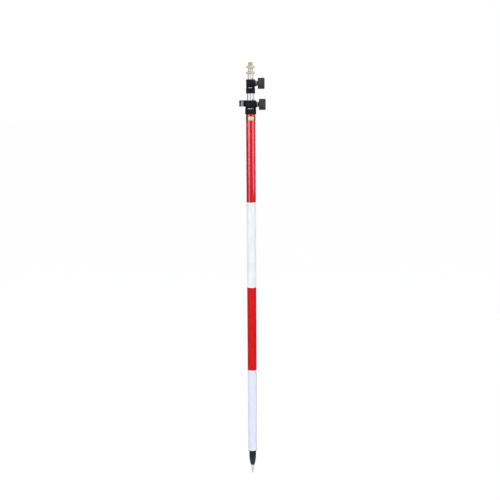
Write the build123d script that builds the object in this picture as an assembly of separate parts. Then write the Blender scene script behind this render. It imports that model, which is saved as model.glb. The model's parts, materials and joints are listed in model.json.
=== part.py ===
from build123d import *
import os
from dataclasses import dataclass
from math import asin, atan2, cos, hypot, pi, sin

# Survey prism pole, closed to its shortest length, in millimetres.
# The origin is the tip of the ground point, +Z runs up the pole and +X points to the clamp knobs.

# Fits shared by all pieces
RUNNING_CLEARANCE = 0.05
LOOSE_CLEARANCE = 0.3
END_PLAY = 0.15
PIN_RECESS = 0.3

# Tubes: each slides in the next larger one, with a nylon bush between them
OUTER_DIAMETER = 32.0
OUTER_WALL = 1.5
OUTER_BUSH_WALL = 1.95
MID_DIAMETER = OUTER_DIAMETER - 2 * (OUTER_WALL + OUTER_BUSH_WALL + RUNNING_CLEARANCE)
MID_WALL = 1.5
MID_BUSH_WALL = 1.45
INNER_DIAMETER = MID_DIAMETER - 2 * (MID_WALL + MID_BUSH_WALL + RUNNING_CLEARANCE)
INNER_WALL = 1.5
MID_EXPOSED = 22.8
INNER_EXPOSED = 18.3
BOTTOM_MARGIN = 10.0

# Colour sleeves and label on the outer tube
BAND_NAMES = ("white_sleeve_lower", "red_sleeve_lower", "white_sleeve_upper", "red_sleeve_upper")
BAND_LENGTH = 300.0
SLEEVE_WALL = 0.3
LABEL_HEIGHT = 14.0
LABEL_DROP = 6.5
LABEL_THICKNESS = 0.2

# Ground point
POINT_TIP_RADIUS = 0.6
POINT_CONE_LENGTH = 23.0
POINT_CONE_DIAMETER = 11.0
POINT_FLARE = 2.0
POINT_COLLAR_DIAMETER = 14.5
POINT_COLLAR_LENGTH = 11.0
POINT_COLLAR_EDGE = 0.6
POINT_FLATS = 12.5
POINT_FLAT_HEIGHT = 6.0
POINT_SHANK_DIAMETER = 10.0
POINT_SHANK_GRIP = 20.0

# Shoe under the tube end
SHOE_LENGTH = 56.0
SHOE_DIAMETER = 24.5
SHOE_SHOULDER = 2.0
SHOE_TAPER_LENGTH = 35.0
SHOE_NOSE_DIAMETER = 15.0
SHOE_SPIGOT_DIAMETER = 20.0
SHOE_SPIGOT_LENGTH = 6.0

# Plug and cross pin in the tube's lower end
FOOT_PLUG_LENGTH = 40.0
FOOT_PIN_DIAMETER = 4.0
FOOT_PIN_DROP = 8.0

# Clamp bodies
CLAMP_RING_HEIGHT = 18.3
CLAMP_RING_WALL = 3.0
CLAMP_KERF = 1.6
CLAMP_WEB_REACH = 4.0
CLAMP_JAW_HEIGHT = 27.3
CLAMP_JAW_INSET = 0.5
CLAMP_EDGE = 0.8
CLAMP_SLIT = 1.0
CLAMP_SEAT = 14.0
EAR_RADIUS = 10.0
EAR_OVERHANG = 1.4
EAR_NUT_INSET = 3.0
EAR_EDGE = 0.8
EAR_BORE_WALL = 1.7

# Split liners and mouth bushes
LINER_WALL = 1.5
LINER_SLIT = 2.0
LINER_LIP_WIDTH = 1.2
LINER_LIP_HEIGHT = 1.0
MOUTH_BUSH_LENGTH = 20.0
MOUTH_FLANGE = 1.0
MOUTH_LEDGE_GAP = 0.5

# Clamp screw, nut, washer and knob
SCREW_DIAMETER = 6.0
SCREW_DROP = 13.5
SCREW_HEAD_FLATS = 10.0
SCREW_HEAD_HEIGHT = 4.0
NUT_FLATS = 10.0
NUT_HEIGHT = 5.0
WASHER_DIAMETER = 19.0
WASHER_THICKNESS = 4.0
WASHER_EDGE = 0.6
KNOB_DIAMETER = 37.2
KNOB_LENGTH = 22.8
KNOB_HUB_LENGTH = 3.4
KNOB_HUB_SMALL = 12.5
KNOB_HUB_LARGE = 19.0
KNOB_OUTER_EDGE = 2.5
KNOB_INNER_EDGE = 1.0
KNOB_FLUTES = 28
KNOB_FLUTE_RADIUS = 1.6
KNOB_FLUTE_DEPTH = 0.8
CAP_DIAMETER = 20.0
CAP_THICKNESS = 2.2
CAP_EDGE = 0.6

# Grub screws
RING_GRUB_DIAMETER = 4.0
RING_GRUB_SOCKET = 2.0
RING_GRUB_HEIGHT = 7.0
RING_GRUB_ANGLES = (50.0, 130.0)
LEVEL_GRUB_DIAMETER = 3.0
LEVEL_GRUB_SOCKET = 1.5
LEVEL_GRUB_HEIGHT = 7.0
LEVEL_GRUB_ANGLES = (152.0, 208.0)
GRUB_SOCKET_DEPTH = 1.2
GRUB_RECESS = 0.2

# Round level beside the lower clamp
LEVEL_DIAMETER = 20.0
LEVEL_HEIGHT = 20.9
LEVEL_WALL = 1.8
LEVEL_RIM = 2.0
LEVEL_WINDOW = 10.4
LEVEL_EDGE = 0.5
LEVEL_FOOT_WIDTH = 13.0
LEVEL_FOOT_THICKNESS = 1.3
LEVEL_PAD_DEPTH = 1.0
LEVEL_SCREW_DIAMETER = 3.0
LEVEL_SCREW_HEAD_DIAMETER = 5.5
LEVEL_SCREW_HEAD_HEIGHT = 1.5
LEVEL_SCREW_GRIP = 2.6
VIAL_WALL = 1.55
VIAL_FLOOR = 5.8
VIAL_EDGE = 0.6
GLASS_SEAT = 3.0
GLASS_RISE = 1.2
GLASS_DOME = 0.7
BUBBLE_DIAMETER = 5.0
BUBBLE_DEPTH = 0.9

# Guide ends of the sliding tubes
GUIDE_LENGTH = 14.0
GUIDE_SPIGOT = 20.0
GUIDE_JOURNAL_STEP = 0.5
GUIDE_FLANGE_STEP = 2.2
GUIDE_FLANGE_HEIGHT = 4.0
GUIDE_VENT_DIAMETER = 6.0

# Brass top of the inner tube
FLANGE_DIAMETER = 29.0
FLANGE_HEIGHT = 7.5
FLANGE_EDGE = 1.0
FLANGE_GROOVE_PITCH = 1.9
FLANGE_GROOVE_RADIUS = 0.5
FLANGE_GROOVE_DEPTH = 0.35
CAP_SPIGOT_LENGTH = 28.0
CAP_PIN_DIAMETER = 3.0
CAP_PIN_DROP = 21.0
NECK_DIAMETER = 16.5
NECK_LENGTH = 11.7
NECK_EDGE = 0.4
STUD_DIAMETER = 15.875
STUD_LENGTH = 12.1
STUD_EDGE = 1.2
STUD_SHANK_DIAMETER = 10.0
STUD_SHANK_GRIP = 14.0
TAPPED_HOLE_RUNOUT = 2.0

# Reach of cutting tools, well beyond any clamp or tube wall
CUT = 2 * OUTER_DIAMETER

UPRIGHT = (Align.CENTER, Align.CENTER, Align.MIN)


def rod(radius, bottom, top):
    """Round bar on the pole's axis."""
    return Pos(0, 0, bottom) * Cylinder(radius, top - bottom, align=UPRIGHT)


def pipe(outer_radius, inner_radius, bottom, top):
    """Round tube on the pole's axis."""
    return rod(outer_radius, bottom, top) - rod(inner_radius, bottom, top)


def turned(*outline):
    """Lathe piece about the pole's axis from (radius, height) corners."""
    corners = [(radius, 0, height) for radius, height in outline]
    return revolve(make_face(Polyline(*corners, close=True)), Axis.Z)


def chamfered_rod(radius, bottom, top, edge):
    """Round bar on the pole's axis with both rims chamfered."""
    return turned(
        (0, bottom),
        (radius - edge, bottom),
        (radius, bottom + edge),
        (radius, top - edge),
        (radius - edge, top),
        (0, top),
    )


def hex_bar(across_flats, bottom, top):
    """Hexagon bar on the pole's axis."""
    section = RegularPolygon(across_flats / 2, 6, major_radius=False)
    return Pos(0, 0, bottom) * extrude(section, top - bottom)


def rim_grooves(radius, count, groove_radius, groove_depth, bottom, top):
    """Round cutters evenly spaced about the pole's axis, each sunk into a rim of this radius."""
    reach = radius + groove_radius - groove_depth
    cutter = rod(groove_radius, bottom, top)
    return [place * cutter for place in PolarLocations(reach, count)]


def cross_pin(diameter, length, height):
    """Round pin across the pole's axis, along X."""
    return Pos(0, 0, height) * Rot(0, 90, 0) * Cylinder(diameter / 2, length)


def grub_screw(diameter, socket, inner, outer):
    """Grub screw along +X between two radii, with its socket at the outer end."""
    blank = rod(diameter / 2, inner, outer)
    return Rot(0, 90, 0) * (blank - hex_bar(socket, outer - GRUB_SOCKET_DEPTH, outer))


@dataclass
class Clamp:
    """Split clamp: a ring fixed on one tube carries a jaw that grips the tube sliding in it."""

    carrier: float
    carrier_wall: float
    gripped: float
    bottom: float

    def __post_init__(self):
        self.ring_top = self.bottom + CLAMP_RING_HEIGHT
        self.jaw_bottom = self.ring_top + CLAMP_KERF
        self.top = self.jaw_bottom + CLAMP_JAW_HEIGHT
        self.carrier_top = self.bottom + CLAMP_SEAT
        self.ring_radius = self.carrier / 2 + CLAMP_RING_WALL
        self.jaw_radius = self.ring_radius - CLAMP_JAW_INSET
        self.carrier_bore = self.carrier / 2 - self.carrier_wall
        self.slide_radius = self.gripped / 2 + RUNNING_CLEARANCE
        self.jaw_bore = self.slide_radius + LINER_WALL
        self.screw_hole = SCREW_DIAMETER / 2 + LOOSE_CLEARANCE
        self.screw_offset = self.jaw_bore + EAR_BORE_WALL + self.screw_hole
        self.screw_height = self.top - SCREW_DROP
        self.knob_face = self.ring_radius + EAR_OVERHANG
        self.nut_face = self.ring_radius - EAR_NUT_INSET

    def on_screw(self, shape):
        """Put a piece drawn along Z, from the knob-side ear face, on the clamp screw's axis."""
        place = Pos(self.knob_face, -self.screw_offset, self.screw_height)
        return place * Rot(0, 90, 0) * shape

    def ring_grub_places(self):
        """Turned places of the grub screws in the ring."""
        height = self.bottom + RING_GRUB_HEIGHT
        return [Pos(0, 0, height) * Rot(0, 0, angle) for angle in RING_GRUB_ANGLES]


def clamp_ears(clamp):
    """The pair of ears as one block, before the slit parts them."""
    front = clamp.screw_offset + EAR_RADIUS
    waist = clamp.screw_offset / 2
    plan = make_face(
        Polyline(
            (clamp.jaw_radius, 0),
            (clamp.knob_face, -waist),
            (clamp.knob_face, -front),
            (-clamp.nut_face, -front),
            (-clamp.nut_face, -waist),
            (-clamp.jaw_radius, 0),
            close=True,
        )
    )
    block = Pos(0, 0, clamp.screw_height - EAR_RADIUS) * extrude(plan, 2 * EAR_RADIUS)
    width = clamp.knob_face + clamp.nut_face
    boss = chamfered_rod(EAR_RADIUS, -width, 0, EAR_EDGE)
    root = Pos(0, clamp.screw_offset / 2, -width / 2) * Box(2 * EAR_RADIUS, clamp.screw_offset, width)
    return block & clamp.on_screw(boss + root)


def clamp_body(clamp):
    """Ring, back web, jaw and ears in one piece, with bores, kerf, slit and screw hole."""
    ring = chamfered_rod(clamp.ring_radius, clamp.bottom, clamp.ring_top, CLAMP_EDGE)
    jaw = chamfered_rod(clamp.jaw_radius, clamp.jaw_bottom, clamp.top, CLAMP_EDGE)
    web = rod(clamp.jaw_radius - CLAMP_EDGE, clamp.ring_top - CLAMP_EDGE, clamp.jaw_bottom + CLAMP_EDGE)
    web &= Pos(0, CUT / 2 - CLAMP_WEB_REACH, clamp.ring_top) * Box(CUT, CUT, CUT)
    body = ring + jaw + web + clamp_ears(clamp)

    flange_top = clamp.carrier_top + MOUTH_FLANGE
    body -= rod(clamp.carrier / 2, clamp.bottom, flange_top)
    body -= rod(clamp.gripped / 2 + MOUTH_LEDGE_GAP, flange_top, clamp.ring_top)
    body -= rod(clamp.jaw_bore, clamp.ring_top, clamp.top)
    body -= rod(clamp.jaw_bore + LINER_LIP_WIDTH, clamp.top - LINER_LIP_HEIGHT, clamp.top)

    slit = Box(CLAMP_SLIT, CUT, clamp.top - clamp.jaw_bottom, align=UPRIGHT)
    body -= Pos(0, -CUT / 2, clamp.jaw_bottom) * slit
    span = clamp.knob_face + clamp.nut_face
    body -= clamp.on_screw(rod(clamp.screw_hole, -span, 0))
    body -= clamp.on_screw(hex_bar(NUT_FLATS, -span, -span + NUT_HEIGHT))
    for place in clamp.ring_grub_places():
        hole = rod(RING_GRUB_DIAMETER / 2, 0, clamp.ring_radius)
        body -= place * Rot(0, 90, 0) * hole
    return body


def clamp_liner(clamp):
    """Nylon liner with a lip in the jaw's mouth, split at the back."""
    liner = pipe(clamp.jaw_bore, clamp.slide_radius, clamp.jaw_bottom, clamp.top)
    lip_radius = clamp.jaw_bore + LINER_LIP_WIDTH
    liner += pipe(lip_radius, clamp.slide_radius, clamp.top - LINER_LIP_HEIGHT, clamp.top)
    slit = Box(LINER_SLIT, CUT, CLAMP_JAW_HEIGHT, align=UPRIGHT)
    return liner - Pos(0, CUT / 2, clamp.jaw_bottom) * slit


def clamp_grubs(clamp):
    """Grub screws that lock the ring on its tube."""
    outer = clamp.ring_radius - GRUB_RECESS
    screw = grub_screw(RING_GRUB_DIAMETER, RING_GRUB_SOCKET, clamp.carrier / 2, outer)
    screws = [place * screw for place in clamp.ring_grub_places()]
    return [screw - rod(clamp.carrier / 2, clamp.bottom, clamp.ring_top) for screw in screws]


def clamp_nut(clamp):
    """Hexagon nut in the ear away from the knob."""
    span = clamp.knob_face + clamp.nut_face
    nut = hex_bar(NUT_FLATS, -span, -span + NUT_HEIGHT)
    nut -= rod(SCREW_DIAMETER / 2 + RUNNING_CLEARANCE, -span, -span + NUT_HEIGHT)
    return clamp.on_screw(nut)


def thrust_washer():
    """Thick thrust washer between an ear and a knob's hub, drawn along Z."""
    washer = chamfered_rod(WASHER_DIAMETER / 2, 0, WASHER_THICKNESS, WASHER_EDGE)
    return washer - rod(SCREW_DIAMETER / 2 + LOOSE_CLEARANCE, 0, WASHER_THICKNESS)


KNOB_BOTTOM = WASHER_THICKNESS + KNOB_HUB_LENGTH
KNOB_TOP = KNOB_BOTTOM + KNOB_LENGTH
CAP_SEAT = KNOB_TOP - CAP_THICKNESS
HEAD_SEAT = CAP_SEAT - SCREW_HEAD_HEIGHT


def fluted_knob():
    """Knob with a tapered hub, a hexagon pocket and a recess for its cap, drawn along Z."""
    radius = KNOB_DIAMETER / 2
    knob = rod(radius, KNOB_BOTTOM, KNOB_TOP)
    knob = fillet(knob.edges().group_by(Axis.Z)[-1], KNOB_OUTER_EDGE)
    knob = fillet(knob.edges().group_by(Axis.Z)[0], KNOB_INNER_EDGE)
    knob -= rim_grooves(
        radius, KNOB_FLUTES, KNOB_FLUTE_RADIUS, KNOB_FLUTE_DEPTH, KNOB_BOTTOM, KNOB_TOP
    )
    hub = turned(
        (0, WASHER_THICKNESS),
        (KNOB_HUB_SMALL / 2, WASHER_THICKNESS),
        (KNOB_HUB_LARGE / 2, KNOB_BOTTOM),
        (0, KNOB_BOTTOM),
    )
    knob += hub
    knob -= rod(CAP_DIAMETER / 2, CAP_SEAT, KNOB_TOP)
    knob -= hex_bar(SCREW_HEAD_FLATS, HEAD_SEAT, CAP_SEAT)
    return knob - rod(SCREW_DIAMETER / 2, WASHER_THICKNESS, HEAD_SEAT)


def knob_cap():
    """Cap over the screw head in a knob's outer face, drawn along Z."""
    radius = CAP_DIAMETER / 2
    return turned(
        (0, CAP_SEAT),
        (radius, CAP_SEAT),
        (radius, KNOB_TOP - CAP_EDGE),
        (radius - CAP_EDGE, KNOB_TOP),
        (0, KNOB_TOP),
    )


def clamp_screw(clamp):
    """Clamp screw with its hexagon head in the knob and its end in the nut."""
    span = clamp.knob_face + clamp.nut_face
    screw = rod(SCREW_DIAMETER / 2, -span, HEAD_SEAT)
    screw += hex_bar(SCREW_HEAD_FLATS, HEAD_SEAT, CAP_SEAT)
    return clamp.on_screw(screw)


def mouth_bush(clamp):
    """Flanged nylon bush in the carrier tube's mouth."""
    bush = pipe(
        clamp.carrier_bore, clamp.slide_radius, clamp.carrier_top - MOUTH_BUSH_LENGTH, clamp.carrier_top
    )
    flange_top = clamp.carrier_top + MOUTH_FLANGE
    return bush + pipe(clamp.carrier / 2, clamp.slide_radius, clamp.carrier_top, flange_top)


def end_plug(bore, tube_bottom):
    """Plug in a sliding tube's lower end, with a journal and flange for the guide bush."""
    journal = bore - GUIDE_JOURNAL_STEP
    flange_top = tube_bottom - GUIDE_LENGTH
    plug = rod(bore, tube_bottom, tube_bottom + GUIDE_SPIGOT)
    plug += rod(journal, flange_top, tube_bottom)
    plug += rod(bore + GUIDE_FLANGE_STEP, flange_top - GUIDE_FLANGE_HEIGHT, flange_top)
    vent_bottom = flange_top - GUIDE_FLANGE_HEIGHT
    return plug - rod(GUIDE_VENT_DIAMETER / 2, vent_bottom, tube_bottom + GUIDE_SPIGOT)


def guide_bush(bore, outer_bore, tube_bottom):
    """Nylon bush that turns on the plug's journal and slides in the outer tube."""
    journal = bore - GUIDE_JOURNAL_STEP
    return pipe(
        outer_bore - RUNNING_CLEARANCE,
        journal + RUNNING_CLEARANCE,
        tube_bottom - GUIDE_LENGTH + END_PLAY,
        tube_bottom - END_PLAY,
    )


def knurled_flange():
    """Brass flange with chamfered rims and a straight-knurled edge, standing on Z = 0."""
    radius = FLANGE_DIAMETER / 2
    disc = chamfered_rod(radius, 0, FLANGE_HEIGHT, FLANGE_EDGE)
    count = round(2 * pi * radius / FLANGE_GROOVE_PITCH)
    return disc - rim_grooves(
        radius, count, FLANGE_GROOVE_RADIUS, FLANGE_GROOVE_DEPTH, 0, FLANGE_HEIGHT
    )


parts = {}

# Heights along the closed pole
collar_bottom = POINT_CONE_LENGTH + POINT_FLARE
shoe_bottom = collar_bottom + POINT_COLLAR_LENGTH
tube_bottom = shoe_bottom + SHOE_LENGTH
sleeves_top = tube_bottom + len(BAND_NAMES) * BAND_LENGTH
lower = Clamp(OUTER_DIAMETER, OUTER_WALL, MID_DIAMETER, sleeves_top)
upper = Clamp(MID_DIAMETER, MID_WALL, INNER_DIAMETER, lower.top + MID_EXPOSED)
flange_bottom = upper.top + INNER_EXPOSED
neck_bottom = flange_bottom + FLANGE_HEIGHT
stud_flange_bottom = neck_bottom + NECK_LENGTH
stud_bottom = stud_flange_bottom + FLANGE_HEIGHT
guide_height = GUIDE_FLANGE_HEIGHT + GUIDE_LENGTH
plug_top = tube_bottom + FOOT_PLUG_LENGTH
mid_bottom = plug_top + MID_EXPOSED + BOTTOM_MARGIN + guide_height
inner_bottom = mid_bottom + GUIDE_SPIGOT + INNER_EXPOSED + BOTTOM_MARGIN + guide_height

# Radii of the tubes and of the sleeves round the outer one
outer_radius = OUTER_DIAMETER / 2
outer_bore = lower.carrier_bore
mid_bore = upper.carrier_bore
inner_bore = INNER_DIAMETER / 2 - INNER_WALL
sleeve_radius = outer_radius + SLEEVE_WALL

# Ground point: the cone runs tangent from a rounded tip
shank_radius = POINT_SHANK_DIAMETER / 2
cone_radius = POINT_CONE_DIAMETER / 2
collar_radius = POINT_COLLAR_DIAMETER / 2
reach = hypot(cone_radius, POINT_CONE_LENGTH - POINT_TIP_RADIUS)
lean = atan2(cone_radius, POINT_CONE_LENGTH - POINT_TIP_RADIUS) - asin(POINT_TIP_RADIUS / reach)
half_arc = (pi / 2 - lean) / 2
tip_middle = (POINT_TIP_RADIUS * sin(half_arc), 0, POINT_TIP_RADIUS * (1 - cos(half_arc)))
tip_end = (POINT_TIP_RADIUS * cos(lean), 0, POINT_TIP_RADIUS * (1 - sin(lean)))
shank_top = tube_bottom + POINT_SHANK_GRIP
tip = ThreePointArc((0, 0, 0), tip_middle, tip_end)
sides = Polyline(
    tip_end,
    (cone_radius, 0, POINT_CONE_LENGTH),
    (collar_radius, 0, collar_bottom),
    (collar_radius, 0, shoe_bottom - POINT_COLLAR_EDGE),
    (collar_radius - POINT_COLLAR_EDGE, 0, shoe_bottom),
    (shank_radius, 0, shoe_bottom),
    (shank_radius, 0, shank_top - POINT_COLLAR_EDGE),
    (shank_radius - POINT_COLLAR_EDGE, 0, shank_top),
    (0, 0, shank_top),
    (0, 0, 0),
)
point = revolve(make_face(tip + sides), Axis.Z)
flat_middle = (collar_bottom + shoe_bottom) / 2
for side in (-1, 1):
    flat = Box(CUT, CUT, POINT_FLAT_HEIGHT)
    point -= Pos(side * (POINT_FLATS + CUT) / 2, 0, flat_middle) * flat
parts["ground_point"] = point

# Shoe: the nose runs up in an arc that meets the straight side without a corner
shoe_radius = SHOE_DIAMETER / 2
taper_top = shoe_bottom + SHOE_TAPER_LENGTH
shoulder_bottom = tube_bottom - SHOE_SHOULDER
spigot_radius = SHOE_SPIGOT_DIAMETER / 2
spigot_top = tube_bottom + SHOE_SPIGOT_LENGTH
shoe_bore = shank_radius + RUNNING_CLEARANCE
nose_end = (SHOE_NOSE_DIAMETER / 2, 0, shoe_bottom)
nose = TangentArc((shoe_radius, 0, taper_top), nose_end, tangent=(0, 0, -1))
shoe_sides = Polyline(
    nose_end,
    (shoe_bore, 0, shoe_bottom),
    (shoe_bore, 0, spigot_top),
    (spigot_radius, 0, spigot_top),
    (spigot_radius, 0, tube_bottom),
    (outer_radius, 0, tube_bottom),
    (outer_radius, 0, shoulder_bottom),
    (shoe_radius, 0, shoulder_bottom),
    (shoe_radius, 0, taper_top),
)
parts["point_shoe"] = revolve(make_face(nose + shoe_sides), Axis.Z)

# Plug and cross pin
pin_height = plug_top - FOOT_PIN_DROP
foot_pin = cross_pin(FOOT_PIN_DIAMETER, OUTER_DIAMETER - 2 * PIN_RECESS, pin_height)
foot_pin_hole = cross_pin(FOOT_PIN_DIAMETER, CUT, pin_height)
plug = rod(outer_bore, tube_bottom, plug_top)
plug -= rod(spigot_radius + RUNNING_CLEARANCE, tube_bottom, spigot_top)
plug -= rod(shank_radius + RUNNING_CLEARANCE, tube_bottom, shank_top + TAPPED_HOLE_RUNOUT)
parts["foot_plug"] = plug - foot_pin_hole
parts["foot_pin"] = foot_pin

# Outer tube with its sleeves, label and mouth bush
parts["outer_tube"] = pipe(outer_radius, outer_bore, tube_bottom, lower.carrier_top) - foot_pin_hole
for index, name in enumerate(BAND_NAMES):
    band_bottom = tube_bottom + index * BAND_LENGTH
    parts[name] = pipe(sleeve_radius, outer_radius, band_bottom, band_bottom + BAND_LENGTH)
label_top = sleeves_top - LABEL_DROP
label_radius = sleeve_radius + LABEL_THICKNESS
parts["gold_label"] = pipe(label_radius, sleeve_radius, label_top - LABEL_HEIGHT, label_top)
parts["outer_mouth_bush"] = mouth_bush(lower)

# Middle and inner tubes with their guide ends
cap_pin_height = flange_bottom - CAP_PIN_DROP
cap_pin_hole = cross_pin(CAP_PIN_DIAMETER, CUT, cap_pin_height)
parts["mid_tube"] = pipe(MID_DIAMETER / 2, mid_bore, mid_bottom, upper.carrier_top)
parts["mid_mouth_bush"] = mouth_bush(upper)
parts["mid_end_plug"] = end_plug(mid_bore, mid_bottom)
parts["mid_guide_bush"] = guide_bush(mid_bore, outer_bore, mid_bottom)
parts["inner_tube"] = pipe(INNER_DIAMETER / 2, inner_bore, inner_bottom, flange_bottom) - cap_pin_hole
parts["inner_end_plug"] = end_plug(inner_bore, inner_bottom)
parts["inner_guide_bush"] = guide_bush(inner_bore, mid_bore, inner_bottom)

# Both clamps, with the same knob on each
washer = thrust_washer()
knob = fluted_knob()
cap = knob_cap()
for name, clamp in (("lower", lower), ("upper", upper)):
    parts[f"{name}_clamp_body"] = clamp_body(clamp)
    parts[f"{name}_clamp_liner"] = clamp_liner(clamp)
    parts[f"{name}_clamp_grubs"] = Compound(clamp_grubs(clamp))
    parts[f"{name}_clamp_nut"] = clamp_nut(clamp)
    parts[f"{name}_clamp_washer"] = clamp.on_screw(washer)
    parts[f"{name}_clamp_screw"] = clamp_screw(clamp)
    parts[f"{name}_clamp_knob"] = clamp.on_screw(knob)
    parts[f"{name}_clamp_cap"] = clamp.on_screw(cap)

# Round level: the housing's foot sits on a flat on the lower clamp's jaw
level_radius = LEVEL_DIAMETER / 2
pad_x = lower.jaw_radius - LEVEL_PAD_DEPTH
level_x = pad_x + LEVEL_FOOT_THICKNESS + level_radius
level_bottom = lower.top - LEVEL_HEIGHT
level_bore = level_radius - LEVEL_WALL
rim_bottom = lower.top - LEVEL_RIM
vial_radius = level_bore - RUNNING_CLEARANCE
vial_bore = vial_radius - VIAL_WALL
vial_floor = level_bottom + VIAL_FLOOR
glass_bottom = rim_bottom - GLASS_SEAT
glass_top = rim_bottom + GLASS_RISE
to_level = Pos(-level_x, 0, 0)
screw_middle = (level_bottom + lower.top) / 2
to_screw = Pos(-level_x + level_bore, 0, screw_middle) * Rot(0, 90, 0)

pad = Box(CUT, CUT, LEVEL_HEIGHT, align=(Align.MAX, Align.CENTER, Align.MIN))
parts["lower_clamp_body"] -= Pos(-pad_x, 0, level_bottom) * pad
screw_reach = level_x - level_bore - pad_x + LEVEL_SCREW_GRIP
level_screw = rod(LEVEL_SCREW_DIAMETER / 2, 0, screw_reach)
level_screw += rod(LEVEL_SCREW_HEAD_DIAMETER / 2, 0, LEVEL_SCREW_HEAD_HEIGHT)
level_screw = to_screw * level_screw
parts["lower_clamp_body"] -= level_screw
parts["level_screw"] = level_screw

foot_length = level_x - pad_x
foot = Box(foot_length, LEVEL_FOOT_WIDTH, LEVEL_HEIGHT, align=(Align.MIN, Align.CENTER, Align.MIN))
housing = chamfered_rod(level_radius, level_bottom, lower.top, LEVEL_EDGE)
housing += Pos(0, 0, level_bottom) * foot
housing -= rod(level_bore, level_bottom, rim_bottom)
housing -= rod(vial_bore + LOOSE_CLEARANCE, rim_bottom, lower.top)
window = Box(LEVEL_WINDOW, CUT, rim_bottom - level_bottom, align=UPRIGHT)
housing -= Pos(0, 0, level_bottom) * window
grub_height = level_bottom + LEVEL_GRUB_HEIGHT
grub_places = [Pos(0, 0, grub_height) * Rot(0, 0, angle) for angle in LEVEL_GRUB_ANGLES]
for place in grub_places:
    housing -= place * Rot(0, 90, 0) * rod(LEVEL_GRUB_DIAMETER / 2, 0, level_radius)
parts["level_housing"] = to_level * housing - level_screw

vial = chamfered_rod(vial_radius, level_bottom, rim_bottom, VIAL_EDGE)
vial -= rod(vial_bore, vial_floor, rim_bottom)
parts["level_vial"] = to_level * vial
bubble_radius = BUBBLE_DIAMETER / 2
ball_radius = (bubble_radius**2 + BUBBLE_DEPTH**2) / (2 * BUBBLE_DEPTH)
bubble = Pos(0, 0, glass_bottom - BUBBLE_DEPTH + ball_radius) * Sphere(ball_radius)
parts["level_liquid"] = to_level * (rod(vial_bore, vial_floor, glass_bottom) - bubble)
dome_radius = (vial_bore**2 + GLASS_DOME**2) / (2 * GLASS_DOME)
glass = rod(vial_bore, glass_bottom, glass_top)
glass &= Pos(0, 0, glass_top - dome_radius) * Sphere(dome_radius)
parts["level_glass"] = to_level * glass
level_grub = grub_screw(
    LEVEL_GRUB_DIAMETER, LEVEL_GRUB_SOCKET, 0, level_radius - GRUB_RECESS
)
vial_clear = rod(vial_radius, level_bottom, rim_bottom)
level_grubs = [to_level * (place * level_grub - vial_clear) for place in grub_places]
parts["level_grubs"] = Compound(level_grubs)

# Brass top: cap in the tube, bright neck, and the stud that holds the stack together
shank_bottom = neck_bottom - STUD_SHANK_GRIP
stud_shank = STUD_SHANK_DIAMETER / 2
flange = knurled_flange()
tube_cap = Pos(0, 0, flange_bottom) * flange
tube_cap += rod(inner_bore, flange_bottom - CAP_SPIGOT_LENGTH, flange_bottom)
tube_cap -= rod(stud_shank + RUNNING_CLEARANCE, shank_bottom - TAPPED_HOLE_RUNOUT, neck_bottom)
parts["tube_cap"] = tube_cap - cap_pin_hole
parts["cap_pin"] = cross_pin(CAP_PIN_DIAMETER, INNER_DIAMETER - 2 * PIN_RECESS, cap_pin_height)
neck = chamfered_rod(NECK_DIAMETER / 2, neck_bottom, stud_flange_bottom, NECK_EDGE)
neck -= rod(stud_shank + RUNNING_CLEARANCE, neck_bottom, stud_flange_bottom)
parts["neck_spacer"] = neck
stud_radius = STUD_DIAMETER / 2
stud_top = stud_bottom + STUD_LENGTH
stud = turned(
    (0, shank_bottom),
    (stud_shank, shank_bottom),
    (stud_shank, stud_bottom),
    (stud_radius, stud_bottom),
    (stud_radius, stud_top - STUD_EDGE),
    (stud_radius - STUD_EDGE, stud_top),
    (0, stud_top),
)
parts["prism_stud"] = stud + Pos(0, 0, stud_flange_bottom) * flange

os.makedirs("parts", exist_ok=True)
for name, shape in parts.items():
    export_step(shape, f"parts/{name}.step")
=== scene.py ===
import json
from math import atan2, cos, hypot, pi, radians, sin, tan

import bmesh
import bpy
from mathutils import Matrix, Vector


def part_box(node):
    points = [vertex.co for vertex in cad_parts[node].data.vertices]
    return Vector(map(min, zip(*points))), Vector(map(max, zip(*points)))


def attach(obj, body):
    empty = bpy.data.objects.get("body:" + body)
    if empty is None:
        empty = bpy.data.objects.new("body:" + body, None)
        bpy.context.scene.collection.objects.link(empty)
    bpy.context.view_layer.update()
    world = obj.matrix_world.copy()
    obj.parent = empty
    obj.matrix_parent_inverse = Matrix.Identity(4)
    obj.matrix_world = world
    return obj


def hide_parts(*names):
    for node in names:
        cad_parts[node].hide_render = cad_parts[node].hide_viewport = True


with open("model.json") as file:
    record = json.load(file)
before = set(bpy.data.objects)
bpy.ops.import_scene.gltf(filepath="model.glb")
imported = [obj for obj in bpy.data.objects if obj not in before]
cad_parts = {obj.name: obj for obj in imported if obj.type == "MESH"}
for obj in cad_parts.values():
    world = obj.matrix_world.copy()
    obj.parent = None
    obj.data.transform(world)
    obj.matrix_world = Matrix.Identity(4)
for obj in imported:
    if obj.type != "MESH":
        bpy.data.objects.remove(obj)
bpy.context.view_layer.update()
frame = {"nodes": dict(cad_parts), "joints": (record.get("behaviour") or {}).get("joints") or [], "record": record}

# Survey prism pole: fine bands and tubes, threaded stud, printed scales and finishes round the CAD frame.
# Metres, with the tip of the ground point at the origin and +Z up the pole.

nodes = frame["nodes"]
MM = 0.001
MICRON = 0.001 * MM
NEAR = 0.01 * MM
WELD = 0.0005 * MM
SIDES = 128
RIM_SEGMENTS = 3
ROUND_SMOOTHING = 12


# Modelling helpers

def newest(name):
    """The piece that was just added, named, with its place put into its mesh."""
    piece = bpy.context.object
    piece.name = piece.data.name = name
    bpy.ops.object.transform_apply(location=True, rotation=True, scale=True)
    return piece


def select_none():
    bpy.ops.object.select_all(action="DESELECT")


def make_active(piece):
    select_none()
    piece.select_set(True)
    bpy.context.view_layer.objects.active = piece


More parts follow.
